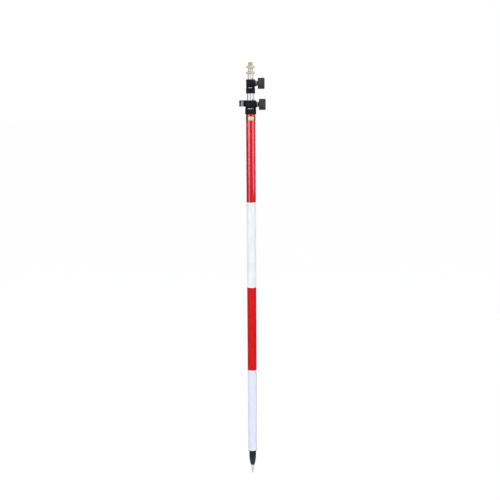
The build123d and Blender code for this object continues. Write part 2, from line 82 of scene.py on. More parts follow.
def start_editing(piece):
    make_active(piece)
    bpy.ops.object.mode_set(mode="EDIT")
    bpy.ops.mesh.select_mode(type="EDGE")
    bpy.ops.mesh.select_all(action="DESELECT")


def stop_editing():
    bpy.ops.object.mode_set(mode="OBJECT")


def pick_edges(piece, wanted):
    """Select the edges whose two ends are both wanted."""
    mesh = bmesh.from_edit_mesh(piece.data)
    for edge in mesh.edges:
        edge.select_set(all(wanted(end.co) for end in edge.verts))
    bmesh.update_edit_mesh(piece.data)


def pick_all():
    bpy.ops.mesh.select_all(action="SELECT")


def radius_of(place):
    return hypot(place.x, place.y)


def face_outwards():
    pick_all()
    bpy.ops.mesh.remove_doubles(threshold=WELD)
    bpy.ops.mesh.normals_make_consistent(inside=False)


def smooth(piece, angle):
    make_active(piece)
    bpy.ops.object.shade_smooth_by_angle(angle=radians(angle))


def apply_modifier(piece, kind, **settings):
    make_active(piece)
    modifier = piece.modifiers.new(kind.lower(), kind)
    for name, value in settings.items():
        setattr(modifier, name, value)
    bpy.ops.object.modifier_apply(modifier=modifier.name)


def join(pieces):
    """Join pieces into the last of them."""
    select_none()
    for piece in pieces:
        piece.select_set(True)
    bpy.context.view_layer.objects.active = pieces[-1]
    bpy.ops.object.join()
    return pieces[-1]


def pipe(name, outer, inner, bottom, top, edge):
    """Tube wall about the pole's axis, with rounded outer rims."""
    select_none()
    bpy.ops.mesh.primitive_cylinder_add(
        vertices=SIDES, radius=outer, depth=top - bottom, end_fill_type="NOTHING",
        location=(0, 0, (bottom + top) / 2),
    )
    piece = newest(name)
    start_editing(piece)
    for height in (bottom, top):
        pick_edges(piece, lambda place: abs(place.z - height) < NEAR)
        bpy.ops.mesh.extrude_edges_move(TRANSFORM_OT_translate={"value": (0, 0, 0)})
        bpy.ops.transform.resize(value=(inner / outer, inner / outer, 1), center_override=(0, 0, height))
    middle = (outer + inner) / 2
    pick_edges(piece, lambda place: radius_of(place) < middle)
    bpy.ops.mesh.bridge_edge_loops()
    for height in (bottom, top):
        pick_edges(piece, lambda place: abs(place.z - height) < NEAR and radius_of(place) > middle)
        bpy.ops.mesh.bevel(offset=edge, segments=RIM_SEGMENTS, affect="EDGES")
    face_outwards()
    stop_editing()
    smooth(piece, ROUND_SMOOTHING)
    return piece


# Colour bands, label and tubes

BAND_EDGE = 0.12 * MM
END_RING_HEIGHT = 4.5 * MM
END_RING_WALL = 0.3 * MM
END_RING_EDGE = 0.27 * MM
LABEL_EDGE = 0.08 * MM
TUBE_WALL = 1.5 * MM
TUBE_EDGE = 0.3 * MM

pole_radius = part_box("outer_tube")[1].x
bands = {}
for node in ("white_sleeve_lower", "red_sleeve_lower", "white_sleeve_upper", "red_sleeve_upper"):
    low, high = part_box(node)
    band = pipe(node.replace("sleeve", "band"), high.x, pole_radius, low.z, high.z, BAND_EDGE)
    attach(band, "pole")
    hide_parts(node)
    bands[node] = band

low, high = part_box("white_sleeve_lower")
end_ring = pipe(
    "white_end_ring", high.x + END_RING_WALL, high.x, low.z, low.z + END_RING_HEIGHT, END_RING_EDGE
)
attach(end_ring, "pole")

low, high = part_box("gold_label")
label = pipe("label_foil", high.x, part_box("red_sleeve_upper")[1].x, low.z, high.z, LABEL_EDGE)
label_middle = (low.z + high.z) / 2
label_half = (high.z - low.z) / 2
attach(label, "pole")
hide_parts("gold_label")

tubes = {}
for node, body in (("mid_tube", "mid_section"), ("inner_tube", "inner_section")):
    low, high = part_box(node)
    tube = pipe(f"{node}_drawn", high.x, high.x - TUBE_WALL, low.z, high.z, TUBE_EDGE)
    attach(tube, body)
    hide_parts(node)
    tubes[node] = tube


# Threaded stud with its knurled flange

STUD_RADIUS = 7.9375 * MM
STUD_ROOT = 6.52 * MM
STUD_PITCH = 25.4 / 11 * MM
STUD_LEAD = 1.2 * MM
STUD_LENGTH = 12.1 * MM
STUD_SINK = 0.2 * MM
FLANGE_HEIGHT = 7.5 * MM
FLANGE_EDGE = 1.0 * MM
FLANGE_EDGE_SEGMENTS = 2
FLANGE_GROOVES = 48
FLANGE_GROOVE_DEPTH = 0.35 * MM
CORNERS_PER_GROOVE = 4
GROOVE_TOLERANCE = 0.1
KNURL_SMOOTHING = 25
CREST_START = 5 / 16
CREST_END = 7 / 16
ROOT_START = 3 / 4
THREAD_STEPS = 96
SPARE_TURNS = 3
THREAD_SMOOTHING = 20


def thread(name, major, minor, pitch, bottom, top, lead):
    """External thread about the pole's axis, with a chamfered free end."""
    outline = ((minor, 0), (major, CREST_START), (major, CREST_END), (minor, ROOT_START), (minor, 1))
    select_none()
    bpy.ops.mesh.primitive_circle_add(vertices=len(outline), radius=pitch, fill_type="NOTHING")
    piece = newest(name)
    start_editing(piece)
    mesh = bmesh.from_edit_mesh(piece.data)
    mesh.verts.ensure_lookup_table()
    ends = {mesh.verts[0], mesh.verts[-1]}
    for edge in mesh.edges:
        edge.select_set(set(edge.verts) == ends)
    bmesh.update_edit_mesh(piece.data)
    bpy.ops.mesh.delete(type="EDGE")
    stop_editing()
    for corner, (radius, share) in zip(piece.data.vertices, outline):
        corner.co = (radius, 0, bottom + (share - 1) * pitch)
    turns = int((top - bottom) / pitch) + SPARE_TURNS
    apply_modifier(
        piece, "SCREW", axis="Z", angle=2 * pi, screw_offset=pitch, iterations=turns,
        steps=THREAD_STEPS, render_steps=THREAD_STEPS, use_merge_vertices=True, merge_threshold=WELD,
    )
    start_editing(piece)
    face_outwards()
    for height, cut in ((bottom, {"clear_inner": True}), (top, {"clear_outer": True})):
        pick_all()
        bpy.ops.mesh.bisect(plane_co=(0, 0, height), plane_no=(0, 0, 1), use_fill=True, threshold=WELD, **cut)
    face_outwards()
    stop_editing()
    for corner in piece.data.vertices:
        limit = min(major, major - lead + (top - corner.co.z))
        if radius_of(corner.co) > limit:
            shrink = limit / radius_of(corner.co)
            corner.co.x *= shrink
            corner.co.y *= shrink
    smooth(piece, THREAD_SMOOTHING)
    return piece


def knurled_disc(name, radius, bottom, top, edge, grooves, depth):
    """Flat flange about the pole's axis with chamfered rims and a straight-knurled edge."""
    select_none()
    bpy.ops.mesh.primitive_cylinder_add(
        vertices=grooves * CORNERS_PER_GROOVE, radius=radius, depth=top - bottom,
        location=(0, 0, (bottom + top) / 2),
    )
    piece = newest(name)
    start_editing(piece)
    for height in (bottom, top):
        pick_edges(piece, lambda place: abs(place.z - height) < NEAR)
        bpy.ops.mesh.bevel(offset=edge, segments=FLANGE_EDGE_SEGMENTS, affect="EDGES")
    face_outwards()
    stop_editing()
    for corner in piece.data.vertices:
        turn = atan2(corner.co.y, corner.co.x) * grooves / (2 * pi)
        if radius_of(corner.co) > radius - NEAR and abs(turn - round(turn)) < GROOVE_TOLERANCE:
            corner.co.x *= 1 - depth / radius
            corner.co.y *= 1 - depth / radius
    smooth(piece, KNURL_SMOOTHING)
    return piece


low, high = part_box("prism_stud")
stud_seat = high.z - STUD_LENGTH
flange = knurled_disc(
    "stud_flange", high.x, stud_seat - FLANGE_HEIGHT, stud_seat, FLANGE_EDGE,
    FLANGE_GROOVES, FLANGE_GROOVE_DEPTH,
)
stud = thread(
    "threaded_stud", STUD_RADIUS, STUD_ROOT, STUD_PITCH, stud_seat - STUD_SINK, high.z, STUD_LEAD
)
stud = join([flange, stud])
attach(stud, "inner_section")
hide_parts("prism_stud")


# Printed scales on the sliding tubes

TICK = 0.5 * MM
TICK_STEP = 10 * MM
STEPS_TO_MIDDLE_TICK = 5
STEPS_TO_LONG_TICK = 10
SCALE_LEFT = -6 * MM
SHORT_TICK_END = SCALE_LEFT + 3 * MM
MIDDLE_TICK_END = SCALE_LEFT + 4.5 * MM
LONG_TICK_END = SCALE_LEFT + 6 * MM
NUMERAL_LEFT = SCALE_LEFT + 7 * MM
NUMERAL_SIZE = 7.0 * MM
INK_BELOW = 0.02 * MM
INK_ABOVE = 0.03 * MM
WRAP_STEP = 0.6 * MM
WRAP_CUTS = range(-11, 32)
MID_TENTHS = range(15, 26)
INNER_TENTHS = range(26, 37)


def tick_row(name, left, right, bottom, step, count):
    """Upright row of short flat marks that face the front, before they are wrapped round a tube."""
    select_none()
    bpy.ops.mesh.primitive_plane_add(
        size=1, location=((left + right) / 2, 0, bottom), rotation=(radians(90), 0, 0)
    )
    bpy.context.object.scale = (right - left, TICK, 1)
    row = newest(name)
    apply_modifier(
        row, "ARRAY", count=count, use_relative_offset=False, use_constant_offset=True,
        constant_offset_displace=(0, 0, step),
    )
    return row


def numeral(name, text, left, height):
    select_none()
    bpy.ops.object.text_add(location=(left, 0, height), rotation=(radians(90), 0, 0))
    words = bpy.context.object
    words.data.body = text
    words.data.size = NUMERAL_SIZE
    words.data.align_y = "CENTER"
    bpy.ops.object.convert(target="MESH")
    return newest(name)


def printed_scale(name, tube, read_at, closed_reading, tenths):
    """Scale on a tube: the mark at the clamp's top edge reads the height of the prism seat in metres."""
    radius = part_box(tube)[1].x

    def mark(reading):
        return read_at - (reading - closed_reading)

    lowest = mark(tenths[-1] / 10)
    count = round((mark(tenths[0] / 10) - lowest) / TICK_STEP) + 1
    pieces = [
        tick_row("short_ticks", SCALE_LEFT, SHORT_TICK_END, lowest, TICK_STEP, count),
        tick_row(
            "middle_ticks", SHORT_TICK_END, MIDDLE_TICK_END, lowest, STEPS_TO_MIDDLE_TICK * TICK_STEP,
            count // STEPS_TO_MIDDLE_TICK + 1,
        ),
        tick_row(
            "long_ticks", MIDDLE_TICK_END, LONG_TICK_END, lowest, STEPS_TO_LONG_TICK * TICK_STEP,
            count // STEPS_TO_LONG_TICK + 1,
        ),
    ]
    for tenth in tenths:
        pieces.append(numeral("numeral", f"{tenth / 10:.1f}", NUMERAL_LEFT, mark(tenth / 10)))
    pieces.append(tick_row(name, SCALE_LEFT - TICK, SCALE_LEFT, lowest, TICK_STEP, 1))
    scale = join(pieces)
    start_editing(scale)
    for cut in WRAP_CUTS:
        pick_all()
        bpy.ops.mesh.bisect(plane_co=(cut * WRAP_STEP, 0, 0), plane_no=(1, 0, 0))
    pick_all()
    bpy.ops.mesh.remove_doubles(threshold=WELD)
    stop_editing()
    for corner in scale.data.vertices:
        turn = corner.co.x / radius
        corner.co.x, corner.co.y = radius * sin(turn), -radius * cos(turn)
    thickness = INK_BELOW + INK_ABOVE
    apply_modifier(scale, "SOLIDIFY", thickness=thickness, offset=(INK_ABOVE - INK_BELOW) / thickness)
    return scale


mid_slide = next(joint for joint in frame["joints"] if joint["name"] == "mid_slide")
mid_travel = mid_slide["range_m"][1]
lower_clamp_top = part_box("lower_clamp_body")[1].z
upper_clamp_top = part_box("upper_clamp_body")[1].z
mid_scale = printed_scale("mid_scale", "mid_tube", lower_clamp_top, stud_seat, MID_TENTHS)
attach(mid_scale, "mid_section")
inner_scale = printed_scale(
    "inner_scale", "inner_tube", upper_clamp_top, stud_seat + mid_travel, INNER_TENTHS
)
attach(inner_scale, "inner_section")


# Ring mark of the round level

LEVEL_RING_OUTER = 3.25 * MM
LEVEL_RING_INNER = 2.95 * MM
LEVEL_RING_BOTTOM = 0.02 * MM
LEVEL_RING_TOP = 0.07 * MM
LEVEL_RING_EDGE = 0.01 * MM

low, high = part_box("level_glass")
level_ring = pipe(
    "level_ring", LEVEL_RING_OUTER, LEVEL_RING_INNER, low.z + LEVEL_RING_BOTTOM, low.z + LEVEL_RING_TOP,
    LEVEL_RING_EDGE,
)
level_ring.location = ((low.x + high.x) / 2, (low.y + high.y) / 2, 0)
make_active(level_ring)
bpy.ops.object.transform_apply(location=True, rotation=False, scale=False)
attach(level_ring, "pole")


# Shader groups that the finishes share

def shader_group(name, inputs, outputs):
    group = bpy.data.node_groups.new(name, "ShaderNodeTree")
    for title, kind in inputs:
        group.interface.new_socket(title, in_out="INPUT", socket_type=f"NodeSocket{kind}")
    for title, kind in outputs:
        group.interface.new_socket(title, in_out="OUTPUT", socket_type=f"NodeSocket{kind}")
    return group, group.nodes.new("NodeGroupInput").outputs, group.nodes.new("NodeGroupOutput").inputs


def noise(tree, vector, scale, detail):
    texture = tree.nodes.new("ShaderNodeTexNoise")
    texture.inputs["Detail"].default_value = detail
    tree.links.new(vector, texture.inputs["Vector"])
    if isinstance(scale, float):
        texture.inputs["Scale"].default_value = scale
    else:
        tree.links.new(scale, texture.inputs["Scale"])
    return texture.outputs["Fac"]


def spread(tree, value, low, high):
    """Stretch the part of a value between low and high over 0 to 1."""
    node = tree.nodes.new("ShaderNodeMapRange")
    node.inputs["From Min"].default_value = low
    node.inputs["From Max"].default_value = high
    tree.links.new(value, node.inputs["Value"])
    return node


def stretched(tree, vector, density):
    node = tree.nodes.new("ShaderNodeVectorMath")
    node.operation = "MULTIPLY"
    tree.links.new(vector, node.inputs[0])
    tree.links.new(density, node.inputs[1])
    return node.outputs["Vector"]


def product(tree, first, second):
    node = tree.nodes.new("ShaderNodeMath")
    node.operation = "MULTIPLY"
    tree.links.new(first, node.inputs[0])
    tree.links.new(second, node.inputs[1])
    return node.outputs["Value"]


def blend(tree, factor, first, second):
    node = tree.nodes.new("ShaderNodeMix")
    node.data_type = "RGBA"
    tree.links.new(factor, node.inputs["Factor"])
    for value, socket in ((first, node.inputs["A"]), (second, node.inputs["B"])):
        if isinstance(value, tuple):
            socket.default_value = value
        else:
            tree.links.new(value, socket)
    return node.outputs["Result"]


def mottle_group():
    """Soft patches between two close colours."""
    group, given, made = shader_group(
        "mottle", [("Vector", "Vector"), ("Scale", "Float"), ("Dark", "Color"), ("Light", "Color")],
        [("Color", "Color")],
    )
    cloud = noise(group, given["Vector"], given["Scale"], detail=4.0)
    patches = spread(group, cloud, low=0.35, high=0.65)
    group.links.new(blend(group, patches.outputs["Result"], given["Dark"], given["Light"]), made["Color"])
    return group


def gloss_group():
    """Roughness that wanders between two values, as on handled surfaces."""
    group, given, made = shader_group(
        "uneven_gloss", [("Vector", "Vector"), ("Scale", "Float"), ("Least", "Float"), ("Most", "Float")],
        [("Roughness", "Float")],
    )
    cloud = noise(group, given["Vector"], given["Scale"], detail=6.0)
    patches = spread(group, cloud, low=0.3, high=0.7)
    group.links.new(given["Least"], patches.inputs["To Min"])
    group.links.new(given["Most"], patches.inputs["To Max"])
    group.links.new(patches.outputs["Result"], made["Roughness"])
    return group


def marks_group():
    """Fine relief drawn out along the directions with little density, as tool marks are."""
    group, given, made = shader_group(
        "tool_marks", [("Vector", "Vector"), ("Density", "Vector")], [("Height", "Float")]
    )
    vector = stretched(group, given["Vector"], given["Density"])
    group.links.new(noise(group, vector, scale=1.0, detail=3.0), made["Height"])
    return group


def scuffs_group():
    """Sparse thin streaks, as sliding and handling leave them."""
    group, given, made = shader_group(
        "scuffs", [("Vector", "Vector"), ("Density", "Vector")], [("Mask", "Float")]
    )
    vector = stretched(group, given["Vector"], given["Density"])
    streaks = spread(group, noise(group, vector, scale=1.0, detail=2.0), low=0.66, high=0.74)
    places = spread(group, noise(group, given["Vector"], scale=14.0, detail=2.0), low=0.45, high=0.65)
    mask = product(group, streaks.outputs["Result"], places.outputs["Result"])
    group.links.new(mask, made["Mask"])
    return group


MOTTLE = mottle_group()
GLOSS = gloss_group()
MARKS = marks_group()
SCUFFS = scuffs_group()


# Finishes: colours and gloss as pairs, relief in microns, and marks and scuffs as densities along X, Y and Z

PATCH_SCALE = 40.0
INK_PATCH_SCALE = 400.0
SMUDGE_SCALE = 60.0
SCUFF_GLOSS = 0.12
MOULDED = (2500, 2500, 2500)
ALONG_POLE = (3000, 3000, 25)
ROUND_POLE = (20, 20, 4000)
ROUND_SCREW = (4000, 60, 60)
FILM_GRAIN = (160, 160, 90)
FOIL_GRAIN = (900, 900, 900)
LONG_SCUFF = (900, 900, 22)
CLAMP_SCUFF = (500, 500, 500)
SHOE_SCUFF = (300, 300, 60)
POINT_SCUFF = (200, 200, 700)


def finish(
    name, dark, light, gloss, *, relief, metallic=0.0, patch=PATCH_SCALE, marks=MOULDED,
    scuff=None, scuff_color=None, field=None, margin=None, **sockets
):
    """Mottled colour, uneven gloss, tool marks or moulding grain, scuffs, and a margin colour outside a field,
    used for painted shade and a printed border.
    """
    material = bpy.data.materials.new(name)
    material.use_nodes = True
    tree = material.node_tree
    shader = tree.nodes["Principled BSDF"]
    shader.inputs["Metallic"].default_value = metallic
    for socket, value in sockets.items():
        shader.inputs[socket.replace("_", " ")].default_value = value
    place = tree.nodes.new("ShaderNodeTexCoord").outputs["Object"]

    def placed(group, **values):
        node = tree.nodes.new("ShaderNodeGroup")
        node.node_tree = group
        tree.links.new(place, node.inputs["Vector"])
        for socket, value in values.items():
            node.inputs[socket].default_value = value
        return node.outputs[0]

    color = placed(MOTTLE, Scale=patch, Dark=(*dark, 1), Light=(*light, 1))
    roughness = placed(GLOSS, Scale=SMUDGE_SCALE, Least=gloss[0], Most=gloss[1])
    if scuff:
        mask = placed(SCUFFS, Density=scuff)
        color = blend(tree, mask, color, (*scuff_color, 1))
        rougher = tree.nodes.new("ShaderNodeMath")
        rougher.operation = "MULTIPLY_ADD"
        rougher.inputs[1].default_value = SCUFF_GLOSS
        tree.links.new(mask, rougher.inputs[0])
        tree.links.new(roughness, rougher.inputs[2])
        roughness = rougher.outputs["Value"]
    if field:
        color = blend(tree, field(tree, place), (*margin, 1), color)
    tree.links.new(color, shader.inputs["Base Color"])
    tree.links.new(roughness, shader.inputs["Roughness"])
    bump = tree.nodes.new("ShaderNodeBump")
    bump.inputs["Strength"].default_value = 1.0
    bump.inputs["Distance"].default_value = relief * MICRON
    tree.links.new(placed(MARKS, Density=marks), bump.inputs["Height"])
    tree.links.new(bump.outputs["Normal"], shader.inputs["Normal"])
    return material


LABEL_FIELD_MIDDLE = 1.0 * MM
LABEL_FIELD_HALF = 10.0 * MM
LABEL_MARGIN = 0.5 * MM
POINT_CONE_TOP = 23.0 * MM
POINT_COLLAR_BOTTOM = 25.0 * MM
# Share of the cone's own grey kept under its painted shade.
CONE_SHARE_LEFT_BY_PAINTED_SHADE = 0.3


def axes_of(tree, place):
    parts = tree.nodes.new("ShaderNodeSeparateXYZ")
    tree.links.new(place, parts.inputs["Vector"])
    return parts.outputs


def inside(tree, value, middle, reach):
    """1 where a value lies within reach of the middle, 0 elsewhere."""
    node = tree.nodes.new("ShaderNodeMath")
    node.operation = "COMPARE"
    node.inputs[1].default_value = middle
    node.inputs[2].default_value = reach
    tree.links.new(value, node.inputs[0])
    return node.outputs["Value"]


def label_field_painted_edges(tree, place):
    """1 on the gold field at the label's front, 0 on the dark margin elsewhere: printed border at top and bottom,
    painted shade at the left and right edges and the back.
    """
    axes = axes_of(tree, place)
    across = inside(tree, axes["X"], LABEL_FIELD_MIDDLE, LABEL_FIELD_HALF)
    front = inside(tree, axes["Y"], -pole_radius, pole_radius)
    upright = inside(tree, axes["Z"], label_middle, label_half - LABEL_MARGIN)
    return product(tree, product(tree, across, front), upright)


def collar_field_painted_cone_shade(tree, place):
    """1 on the point's collar, less on its cone, which is darkened towards the margin grey as painted shade."""
    collar = spread(tree, axes_of(tree, place)["Z"], POINT_CONE_TOP, POINT_COLLAR_BOTTOM)
    collar.inputs["To Min"].default_value = CONE_SHARE_LEFT_BY_PAINTED_SHADE
    return collar.outputs["Result"]


FILM = {"marks": FILM_GRAIN, "relief": 2.0, "scuff": LONG_SCUFF}
WHITE_FILM = {**FILM, "gloss": (0.30, 0.38), "Diffuse_Roughness": 1.0, "Specular_IOR_Level": 0.1}
RED_FILM = {**FILM, "gloss": (0.06, 0.09), "IOR": 1.8}
TURNED = {"metallic": 1.0, "marks": ROUND_POLE}
SCREW_TURNED = {"metallic": 1.0, "marks": ROUND_SCREW, "relief": 2.0}

finishes = {
    "white_sleeve": finish(
        "white_film", (0.85, 0.84, 0.905), (0.865, 0.855, 0.92), scuff_color=(0.74, 0.76, 0.80), **WHITE_FILM
    ),
    "red_sleeve": finish(
        "red_film", (0.75, 0.004, 0.006), (0.78, 0.005, 0.007), scuff_color=(0.60, 0.02, 0.03), **RED_FILM
    ),
    # Painted shade: outside a gold field at the front, the label takes the dark margin colour, darkening its left
    # and right edges and its back; the thin strips at its top and bottom are a printed border.
    "gold_foil": finish(
        "gold_print", (0.80, 0.62, 0.22), (0.88, 0.69, 0.27), (0.22, 0.32), relief=1.5, marks=FOIL_GRAIN,
        field=label_field_painted_edges, margin=(0.085, 0.062, 0.038),
    ),
    "polished_tube": finish(
        "polished_tube", (0.91, 0.915, 0.93), (0.94, 0.945, 0.955), (0.05, 0.11), relief=0.6, metallic=1.0,
        marks=ALONG_POLE, scuff=LONG_SCUFF, scuff_color=(0.80, 0.80, 0.82),
    ),
    "tube_aluminium": finish(
        "mill_aluminium", (0.72, 0.73, 0.74), (0.79, 0.80, 0.81), (0.28, 0.42), relief=3.0, metallic=1.0,
        marks=ALONG_POLE,
    ),
    "black_anodised": finish(
        "black_anodised", (0.011, 0.011, 0.013), (0.015, 0.015, 0.018), (0.36, 0.48), relief=2.0,
        scuff=CLAMP_SCUFF, scuff_color=(0.025, 0.025, 0.028), Specular_IOR_Level=0.08,
    ),
    "knob_plastic": finish(
        "knob_plastic", (0.033, 0.034, 0.037), (0.041, 0.042, 0.046), (0.45, 0.58), relief=18.0,
        Specular_IOR_Level=0.3,
    ),
    "shoe_plastic": finish(
        "shoe_plastic", (0.020, 0.020, 0.026), (0.026, 0.026, 0.033), (0.34, 0.46), relief=6.0,
        scuff=SHOE_SCUFF, scuff_color=(0.05, 0.05, 0.055), Specular_IOR_Level=0.3,
    ),
    # Painted shade: the point's cone is blended towards the darker margin grey.
    "steel_point": finish(
        "ground_steel", (0.82, 0.82, 0.84), (0.92, 0.92, 0.94), (0.22, 0.40), relief=3.0, **TURNED,
        scuff=POINT_SCUFF, scuff_color=(0.55, 0.55, 0.55), field=collar_field_painted_cone_shade, margin=(0.47, 0.47, 0.48),
    ),
    "brass": finish(
        "turned_brass", (0.82, 0.81, 0.56), (0.90, 0.89, 0.63), (0.48, 0.60), relief=2.0, **TURNED
    ),
    "bright_neck": finish(
        "bright_steel", (0.83, 0.83, 0.84), (0.89, 0.89, 0.90), (0.50, 0.60), relief=2.0, **TURNED
    ),
    "washer_steel": finish(
        "washer_steel", (0.46, 0.46, 0.47), (0.54, 0.54, 0.55), (0.34, 0.46), **SCREW_TURNED
    ),
    "zinc_steel": finish(
        "zinc_steel", (0.50, 0.51, 0.53), (0.60, 0.61, 0.62), (0.24, 0.36), **SCREW_TURNED
    ),
    "nylon": finish("natural_nylon", (0.78, 0.76, 0.70), (0.84, 0.82, 0.76), (0.42, 0.55), relief=4.0),
    "black_nylon": finish(
        "black_nylon", (0.020, 0.020, 0.020), (0.028, 0.028, 0.028), (0.42, 0.55), relief=4.0
    ),
    "vial_aluminium": finish(
        "blasted_vial", (0.30, 0.305, 0.31), (0.34, 0.345, 0.35), (0.50, 0.62), relief=12.0, metallic=0.1
    ),
    "level_liquid": finish(
        "level_liquid", (0.74, 0.84, 0.26), (0.80, 0.88, 0.34), (0.0, 0.02), relief=0.05, IOR=1.36,
        Transmission_Weight=0.4,
    ),
    "level_glass": finish(
        "level_glass", (0.95, 0.97, 0.97), (0.97, 0.99, 0.99), (0.0, 0.02), relief=0.05, IOR=1.5,
        Transmission_Weight=1.0, Alpha=0.25,
    ),
}
# Painted light: lit and shaded copies of the films for the upper bands, the upper white brighter and yellower and
# the upper red darker, for how the light falls on the upper part of the pole.
upper_red_painted_light = finish(
    "faded_red_film", (0.69, 0.004, 0.010), (0.72, 0.005, 0.013), scuff_color=(0.60, 0.02, 0.04), **RED_FILM
)
upper_white_painted_light = finish(
    "faded_white_film", (0.88, 0.885, 0.845), (0.90, 0.905, 0.86), scuff_color=(0.78, 0.81, 0.80),
    **WHITE_FILM,
)
# Painted shade: a near-black screw steel that dims the clamp screws seen in the dark slit of each clamp.
screw_steel_painted_slit_shade = finish(
    "blackened_screw", (0.045, 0.045, 0.050), (0.060, 0.060, 0.066), (0.38, 0.50), **SCREW_TURNED
)
ink = finish(
    "scale_ink", (0.018, 0.018, 0.020), (0.030, 0.030, 0.033), (0.40, 0.55), relief=2.0, patch=INK_PATCH_SCALE
)


def paint(piece, slot, material=None):
    """Give a new piece its finish: the given material, else the finish of the record's slot."""
    piece.data.materials.clear()
    piece.data.materials.append(material or finishes[slot])


for subpart in frame["record"]["subparts"]:
    node = nodes[subpart["node"]]
    if node.material_slots:
        node.material_slots[0].material = finishes[subpart["material_slot"]]
    else:
        node.data.materials.append(finishes[subpart["material_slot"]])
# Painted shade: the clamp screws take the near-black screw steel in place of their zinc steel.
for clamp in ("lower", "upper"):
    nodes[f"{clamp}_clamp_screw"].material_slots[0].material = screw_steel_painted_slit_shade
paint(bands["white_sleeve_lower"], "white_sleeve")
paint(bands["red_sleeve_lower"], "red_sleeve")
# Painted light: the upper bands take the brighter white and darker red copies of the films.
paint(bands["white_sleeve_upper"], "white_sleeve", upper_white_painted_light)
paint(bands["red_sleeve_upper"], "red_sleeve", upper_red_painted_light)
for tube in tubes.values():
    paint(tube, "polished_tube")
paint(end_ring, "white_sleeve")
paint(label, "gold_foil")
paint(stud, "brass")
for printed_mark in (mid_scale, inner_scale, level_ring):
    paint(printed_mark, "black_nylon", ink)


# Floor and world: white to the camera, in mirrors and through glass, greyer to the rays that light the pole

FLOOR_SIZE = 60
FLOOR_WHITE = 1.08
FLOOR_WHITE_SHARE = 0.9
FLOOR_GREY = 0.65
AMBIENT = (0.28, 0.295, 0.32)


def plain_material(name):
    material = bpy.data.materials.new(name)
    material.use_nodes = True
    tree = material.node_tree
    tree.nodes.remove(tree.nodes["Principled BSDF"])
    return material, tree, tree.nodes["Material Output"].inputs["Surface"]


def seen_directly(tree):
    """1 for camera, mirror and glass rays, 0 for the rays that light the pole."""
    rays = tree.nodes.new("ShaderNodeLightPath").outputs
    total = rays["Is Camera Ray"]
    for kind in ("Is Glossy Ray", "Is Transmission Ray"):
        largest = tree.nodes.new("ShaderNodeMath")
        largest.operation = "MAXIMUM"
        tree.links.new(total, largest.inputs[0])
        tree.links.new(rays[kind], largest.inputs[1])
        total = largest.outputs["Value"]
    return total


select_none()
bpy.ops.mesh.primitive_plane_add(size=FLOOR_SIZE, location=(0, 0, 0))
floor = newest("floor")
material, tree, surface = plain_material("floor_white")
glow = tree.nodes.new("ShaderNodeEmission")
glow.inputs["Strength"].default_value = FLOOR_WHITE
matte = tree.nodes.new("ShaderNodeBsdfDiffuse")
matte.inputs["Color"].default_value = (FLOOR_GREY, FLOOR_GREY, FLOOR_GREY, 1)
share = tree.nodes.new("ShaderNodeMath")
share.operation = "MULTIPLY"
share.inputs[1].default_value = FLOOR_WHITE_SHARE
tree.links.new(seen_directly(tree), share.inputs[0])
mix = tree.nodes.new("ShaderNodeMixShader")
tree.links.new(share.outputs["Value"], mix.inputs["Fac"])
tree.links.new(matte.outputs["BSDF"], mix.inputs[1])
tree.links.new(glow.outputs["Emission"], mix.inputs[2])
tree.links.new(mix.outputs["Shader"], surface)
floor.data.materials.append(material)

world = bpy.data.worlds.new("studio")
bpy.context.scene.world = world
world.use_nodes = True
tree = world.node_tree
ambient = tree.nodes["Background"]
ambient.inputs["Color"].default_value = (*AMBIENT, 1)
white = tree.nodes.new("ShaderNodeBackground")
white.inputs["Color"].default_value = (1, 1, 1, 1)
mix = tree.nodes.new("ShaderNodeMixShader")
tree.links.new(seen_directly(tree), mix.inputs["Fac"])
tree.links.new(ambient.outputs["Background"], mix.inputs[1])
tree.links.new(white.outputs["Background"], mix.inputs[2])
tree.links.new(mix.outputs["Shader"], tree.nodes["World Output"].inputs["Surface"])


# Lamps: they light the pole and the floor unseen, and the cards stand for them in mirrors

LAMP_TINT = (0.95, 1.0, 1.08)
LAMP_DISTANCE = 2.8
LAMP_HEIGHT = 1.25
LAMP_WIDTH = 1.4
LAMP_LENGTH = 2.4
FRONT_AZIMUTH = 35
REAR_AZIMUTH = 145
FRONT_RADIANCE = 3.5
REAR_RADIANCE = 3.0
OVERHEAD_PLACE = (0, -0.4, 3.0)
OVERHEAD_TILT = -8
OVERHEAD_SIZE = 1.2
OVERHEAD_RADIANCE = 3.0


def about_pole(azimuth, distance, height):
    """A place round the pole: azimuth 0 is in front, at the camera's side, and 90 is on the right."""
    turn = radians(azimuth)
    return (distance * sin(turn), -distance * cos(turn), height)


def lamp(name, place, rotation, width, length, radiance):
    light = bpy.data.lights.new(name, "AREA")
    light.shape = "RECTANGLE"
    light.size, light.size_y = width, length
    light.energy = radiance * pi * width * length
    light.color = LAMP_TINT
    holder = bpy.data.objects.new(name, light)
    bpy.context.scene.collection.objects.link(holder)
    holder.location = place
    holder.rotation_euler = rotation
    holder.visible_camera = holder.visible_glossy = False


def upright_lamp(name, azimuth, radiance):
    place = about_pole(azimuth, LAMP_DISTANCE, LAMP_HEIGHT)
    lamp(name, place, (radians(90), 0, radians(azimuth)), LAMP_WIDTH, LAMP_LENGTH, radiance)


upright_lamp("left_lamp", -FRONT_AZIMUTH, FRONT_RADIANCE)
upright_lamp("right_lamp", FRONT_AZIMUTH, FRONT_RADIANCE)
upright_lamp("rear_left_lamp", -REAR_AZIMUTH, REAR_RADIANCE)
upright_lamp("rear_right_lamp", REAR_AZIMUTH, REAR_RADIANCE)
lamp(
    "overhead_lamp", OVERHEAD_PLACE, (radians(OVERHEAD_TILT), 0, 0), OVERHEAD_SIZE, OVERHEAD_SIZE,
    OVERHEAD_RADIANCE,
)


# Mirror cards: only reflections show them, as a studio's walls and softboxes are seen in polished metal

